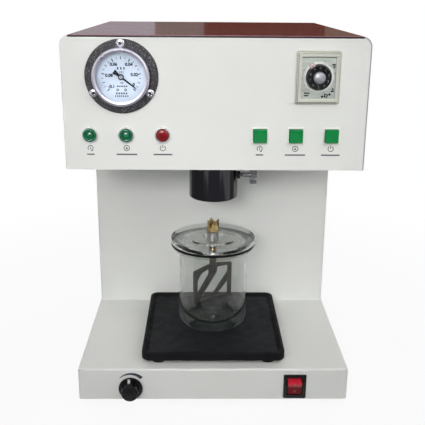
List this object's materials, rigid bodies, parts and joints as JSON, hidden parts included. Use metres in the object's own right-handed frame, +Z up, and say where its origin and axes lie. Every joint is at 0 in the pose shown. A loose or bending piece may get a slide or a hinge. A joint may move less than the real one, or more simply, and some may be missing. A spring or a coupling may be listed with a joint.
{
  "type": "bench vacuum mixer",
  "caption": "Bench vacuum mixer for dental materials: a drive head on a column over a vibrating rubber tray, with a clear lidded bowl and paddle, gauge, timer and switches.",
  "frame": {"origin": "centre of the overall bounding box at the level of the bench", "axes": "+X to the right, +Y from the front panel to the back, +Z up; the overall height is the longest side, the overall width the shortest"},
  "size_m": [0.3248, 0.3684, 0.4307],
  "materials": {
    "white_paint": "semi-gloss baked enamel",
    "red_paint": "gloss baked enamel",
    "steel": "brushed",
    "zinc": "zinc plated",
    "chrome": "polished",
    "black_metal": "glossy black",
    "dark_chrome": "polished dark",
    "black_rubber": "matte",
    "black_plastic": "fine texture",
    "grey_plastic": "matte",
    "beige_plastic": "satin",
    "silver_plastic": "satin silver",
    "dial_white": "matte white",
    "pointer_black": "matte black",
    "clear_glass": "clear",
    "clear_plastic": "clear moulded",
    "green_lens": "translucent green",
    "red_lens": "translucent red",
    "green_plastic": "gloss green",
    "red_plastic": "translucent red",
    "white_plastic": "satin white",
    "brass": "turned",
    "aluminium": "cast",
    "copper_coil": "enamelled winding",
    "board_green": "circuit board"
  },
  "bodies": {
    "chassis": {"base_pan": "white_paint", "base_bottom_plate": "zinc", "rubber_feet": "black_rubber", "body_screws": "chrome", "column_shell": "white_paint", "head_floor_plate": "white_paint", "head_front_panel": "white_paint", "head_hood": "red_paint", "rear_cover": "white_paint", "gauge_case": "black_metal", "gauge_bezel": "chrome", "gauge_dial": "dial_white", "gauge_lens": "clear_glass", "gauge_screws": "chrome", "timer_frame": "beige_plastic", "timer_body": "silver_plastic", "lamp_bodies": "chrome", "green_lamp_lenses": "green_lens", "red_lamp_lens": "red_lens", "button_housings": "white_plastic", "rocker_case": "black_plastic", "potentiometer": "grey_plastic", "drive_housing": "dark_chrome", "housing_seal": "black_rubber", "bearing_sleeve": "steel", "spindle_bearings": "steel", "mixer_motor": "black_metal", "motor_bracket": "zinc", "vacuum_pump": "aluminium", "pump_mounts": "black_rubber", "vacuum_hoses": "black_rubber", "exhaust_spigot": "brass", "power_inlet": "black_plastic", "control_board": "board_green", "vibrator_coil": "copper_coil", "table_mounts": "black_rubber"},
    "gauge_needle": {"gauge_pointer": "pointer_black"},
    "timer_knob": {"timer_dial": "black_plastic", "timer_dial_cap": "silver_plastic"},
    "mix_push": {"mix_button": "green_plastic"},
    "vacuum_push": {"vacuum_button": "green_plastic"},
    "power_push": {"power_button": "green_plastic"},
    "mains_rocker": {"power_rocker": "red_plastic"},
    "vibration_knob": {"potentiometer_shaft": "steel", "intensity_knob": "black_plastic"},
    "clamp_slide": {"clamp_pad": "brass"},
    "clamp_screw": {"clamp_rod": "chrome", "clamp_knob": "chrome"},
    "drive": {"drive_spindle": "steel", "shaft_coupling": "aluminium", "motor_shaft": "steel"},
    "table": {"table_tray": "black_rubber", "table_plate": "steel"},
    "bowl_set": {"bowl": "clear_plastic", "lid_gasket": "black_rubber", "lid": "clear_plastic", "lid_bush": "brass"},
    "paddle": {"paddle_shaft": "steel", "paddle_blade": "steel", "drive_crown": "brass"}
  },
  "joints": [
    {"name": "vacuum_pointer", "type": "hinge", "parent": "chassis", "child": "gauge_needle", "pos_m": [-0.0975, -0.16775, 0.389], "axis": [0, -1, 0], "range_deg": [0, 270], "stiffness_Nm_per_rad": 0.0004, "springref_deg": -11.46},
    {"name": "timer_turn", "type": "hinge", "parent": "chassis", "child": "timer_knob", "pos_m": [0.1056, -0.16775, 0.3898], "axis": [0, 1, 0], "range_deg": [-108, 172]},
    {"name": "mix_press", "type": "slide", "parent": "chassis", "child": "mix_push", "axis": [0, 1, 0], "range_m": [0, 0.003], "stiffness_N_per_m": 400, "springref_m": -0.002},
    {"name": "vacuum_press", "type": "slide", "parent": "chassis", "child": "vacuum_push", "axis": [0, 1, 0], "range_m": [0, 0.003], "stiffness_N_per_m": 400, "springref_m": -0.002},
    {"name": "power_press", "type": "slide", "parent": "chassis", "child": "power_push", "axis": [0, 1, 0], "range_m": [0, 0.003], "stiffness_N_per_m": 400, "springref_m": -0.002},
    {"name": "mains_rock", "type": "hinge", "parent": "chassis", "child": "mains_rocker", "pos_m": [0.097, -0.16175, 0.0252], "axis": [-1, 0, 0], "range_deg": [0, 24]},
    {"name": "vibration_turn", "type": "hinge", "parent": "chassis", "child": "vibration_knob", "pos_m": [-0.098, -0.16775, 0.024], "axis": [0, 1, 0], "range_deg": [-142, 158]},
    {"name": "clamp_advance", "type": "slide", "parent": "chassis", "child": "clamp_slide", "axis": [1, 0, 0], "range_m": [0, 0.0024]},
    {"name": "clamp_turn", "type": "hinge", "parent": "clamp_slide", "child": "clamp_screw", "pos_m": [0, -0.05875, 0.257], "axis": [1, 0, 0], "range_deg": [0, 1080]},
    {"name": "drive_spin", "type": "hinge", "parent": "chassis", "child": "drive", "pos_m": [0, -0.05875, 0.2432], "axis": [0, 0, 1], "continuous": true},
    {"name": "table_shake", "type": "slide", "parent": "chassis", "child": "table", "axis": [0, 0, 1], "range_m": [-0.001, 0], "stiffness_N_per_m": 30000, "springref_m": 0.0012, "deforming": ["table_mounts"]},
    {"name": "bowl_lift", "type": "slide", "parent": "table", "child": "bowl_set", "axis": [0, 0, 1], "range_m": [0, 0.0527]},
    {"name": "paddle_spin", "type": "hinge", "parent": "bowl_set", "child": "paddle", "pos_m": [0, -0.05875, 0.0595], "axis": [0, 0, 1], "continuous": true}
  ],
  "couplings": [
    {"joint": "clamp_turn", "follows": "clamp_advance", "rad_per_m": 7854},
    {"joint": "paddle_spin", "follows": "drive_spin", "ratio": 1}
  ]
}
